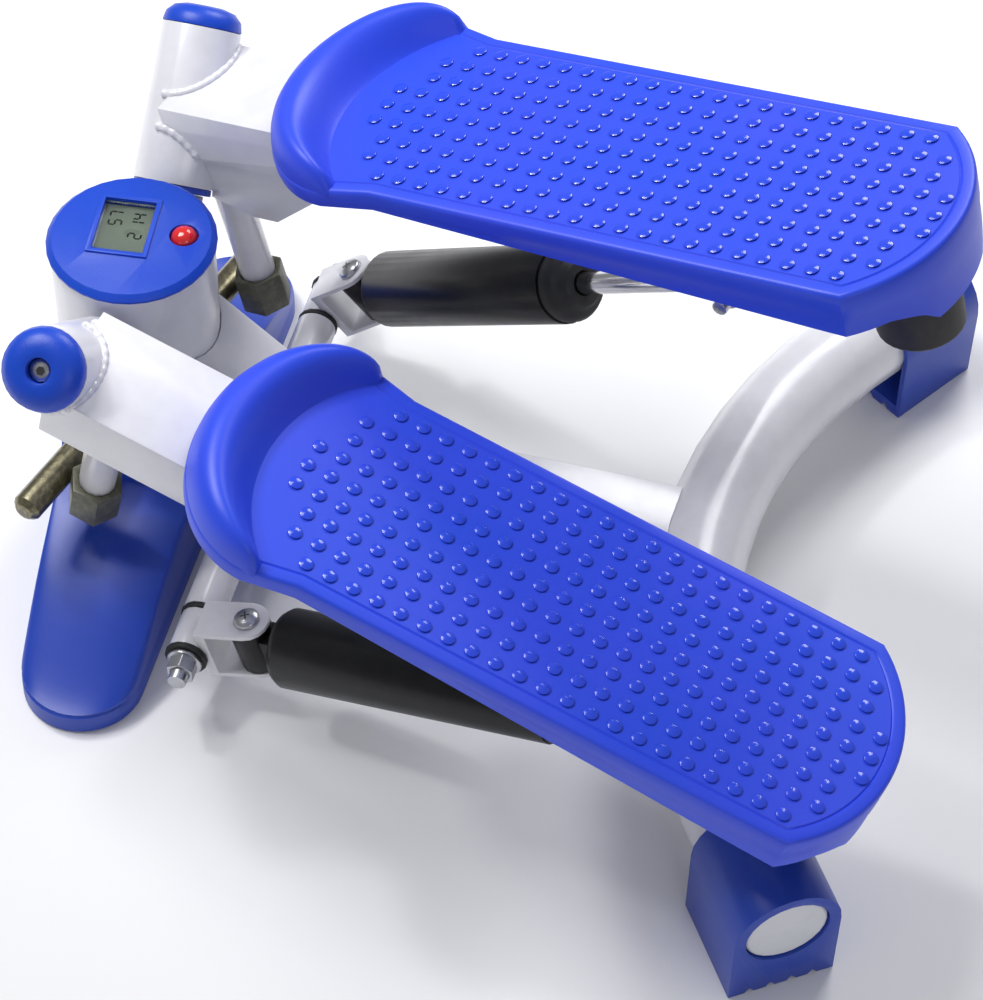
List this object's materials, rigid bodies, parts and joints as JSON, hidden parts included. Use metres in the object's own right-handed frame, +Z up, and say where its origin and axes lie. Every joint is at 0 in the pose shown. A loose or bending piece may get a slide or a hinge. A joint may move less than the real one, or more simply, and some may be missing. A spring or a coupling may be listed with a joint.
{
  "type": "stepper",
  "caption": "Mini twist stepper: blue foot pedals on leaning pivot arms, held up by hydraulic dampers and linked by a rocker bar through a central post, with a round display on top.",
  "frame": {"origin": "on the floor, on the upright post's axis, in the middle of the front foot's underside", "axes": "+Z up; +Y forward, the way the user faces; +X to the user's right. At rest the left pedal is down and the right pedal is up."},
  "size_m": [0.4714, 0.4777, 0.338],
  "materials": {
    "black_paint": "glossy black paint",
    "black_rubber": "matt black rubber",
    "blue_plastic": "satin royal blue moulded plastic with soft domed bumps on the treads",
    "bronze": "sintered bronze",
    "chrome": "polished chrome",
    "circuit_green": "green circuit board",
    "clear_window": "clear display window",
    "dark_blue_plastic": "dark blue plastic, fine grain",
    "hex_nylon": "dark olive nylon, mottled with grease",
    "oiled_steel": "greased dark steel with worn bright ends",
    "red_plastic": "glossy red moulded plastic",
    "screen_glass": "grey-green liquid crystal panel",
    "white_paint": "glossy white powder coat",
    "white_plastic": "off-white moulded plastic",
    "zinc": "bright zinc plating"
  },
  "bodies": {
    "base": {"post": "white_paint", "front_crossbar": "white_paint", "front_pad": "black_rubber", "front_cover": "dark_blue_plastic", "rear_tube": "white_paint", "left_rear_cap": "dark_blue_plastic", "left_end_disc": "white_plastic", "right_rear_cap": "dark_blue_plastic", "right_end_disc": "white_plastic", "centre_beam": "white_paint", "post_gusset": "white_paint", "axle_tube": "white_paint", "axle_rod": "zinc", "left_inner_ring": "black_rubber", "left_outer_ring": "black_rubber", "left_axle_nut": "zinc", "right_inner_ring": "black_rubber", "right_outer_ring": "black_rubber", "right_axle_nut": "zinc", "left_pivot_axle": "zinc", "left_cap_screw": "zinc", "right_pivot_axle": "zinc", "right_cap_screw": "zinc", "monitor_housing": "blue_plastic", "lcd_window": "clear_window", "lcd_panel": "screen_glass", "circuit_board": "circuit_green", "coin_cell": "zinc", "rocker_shelf": "white_paint", "rocker_pin": "zinc"},
    "button": {"reset_button": "red_plastic"},
    "rocker": {"rocker_bar": "oiled_steel"},
    "left_arm": {"left_arm_frame": "white_paint", "left_pivot_liner": "dark_blue_plastic", "left_sleeve_cap": "blue_plastic", "left_hex_block": "hex_nylon", "left_footplate": "blue_plastic", "left_foot_bracket": "white_paint", "left_rod_bolt": "zinc", "left_bumper": "black_rubber"},
    "left_clevis_link": {"left_clevis": "white_paint", "left_clevis_bolt": "zinc"},
    "left_damper": {"left_damper_body": "black_paint", "left_damper_gland": "black_rubber"},
    "left_rod": {"left_piston_rod": "chrome", "left_piston": "bronze"},
    "right_arm": {"right_arm_frame": "white_paint", "right_pivot_liner": "dark_blue_plastic", "right_sleeve_cap": "blue_plastic", "right_hex_block": "hex_nylon", "right_footplate": "blue_plastic", "right_foot_bracket": "white_paint", "right_rod_bolt": "zinc", "right_bumper": "black_rubber"},
    "right_clevis_link": {"right_clevis": "white_paint", "right_clevis_bolt": "zinc"},
    "right_damper": {"right_damper_body": "black_paint", "right_damper_gland": "black_rubber"},
    "right_rod": {"right_piston_rod": "chrome", "right_piston": "bronze"}
  },
  "joints": [
    {"name": "left_arm_swing", "type": "hinge", "parent": "base", "child": "left_arm", "pos_m": [-0.1226, 0, 0.2321], "axis": [-0.723, 0, 0.6909], "range_deg": [0, 36.8]},
    {"name": "right_arm_swing", "type": "hinge", "parent": "base", "child": "right_arm", "pos_m": [0.1226, 0, 0.2321], "axis": [0.723, 0, 0.6909], "range_deg": [0, 36.8]},
    {"name": "rocker_turn", "type": "hinge", "parent": "base", "child": "rocker", "pos_m": [0, 0, 0.0925], "axis": [0, 0, 1], "range_deg": [0, 33]},
    {"name": "left_clevis_tilt", "type": "hinge", "parent": "base", "child": "left_clevis_link", "pos_m": [-0.1197, -0.0625, 0.038], "axis": [-1, 0, 0], "range_deg": [0, 25.63]},
    {"name": "left_damper_yaw", "type": "hinge", "parent": "left_clevis_link", "child": "left_damper", "pos_m": [-0.1197, -0.09615, 0.04646], "axis": [0, 0.2439, 0.9698], "range_deg": [0, 29.41]},
    {"name": "left_rod_stroke", "type": "slide", "parent": "left_damper", "child": "left_rod", "axis": [-0.1548, -0.9581, 0.241], "range_m": [0, 0.095]},
    {"name": "right_clevis_tilt", "type": "hinge", "parent": "base", "child": "right_clevis_link", "pos_m": [0.1197, -0.0625, 0.038], "axis": [1, 0, 0], "range_deg": [0, 25.63]},
    {"name": "right_damper_yaw", "type": "hinge", "parent": "right_clevis_link", "child": "right_damper", "pos_m": [0.1197, -0.08918, 0.06019], "axis": [0, 0.6394, 0.7689], "range_deg": [0, 29.41]},
    {"name": "right_rod_stroke", "type": "slide", "parent": "right_damper", "child": "right_rod", "axis": [0.3503, 0.7202, -0.5989], "range_m": [0, 0.095]},
    {"name": "button_press", "type": "slide", "parent": "base", "child": "button", "axis": [0, 0, -1], "range_m": [0, 0.0015], "stiffness_N_per_m": 500}
  ],
  "couplings": [
    {"joint": "right_arm_swing", "follows": "left_arm_swing", "ratio": 1},
    {"joint": "rocker_turn", "follows": "left_arm_swing", "ratio": 0.89674},
    {"joint": "left_clevis_tilt", "follows": "left_arm_swing", "ratio": 0.69643},
    {"joint": "left_damper_yaw", "follows": "left_arm_swing", "ratio": 0.79914},
    {"joint": "left_rod_stroke", "follows": "left_arm_swing", "m_per_rad": 0.14791},
    {"joint": "right_clevis_tilt", "follows": "left_arm_swing", "ratio": 0.69643},
    {"joint": "right_damper_yaw", "follows": "left_arm_swing", "ratio": 0.79914},
    {"joint": "right_rod_stroke", "follows": "left_arm_swing", "m_per_rad": 0.14791}
  ]
}
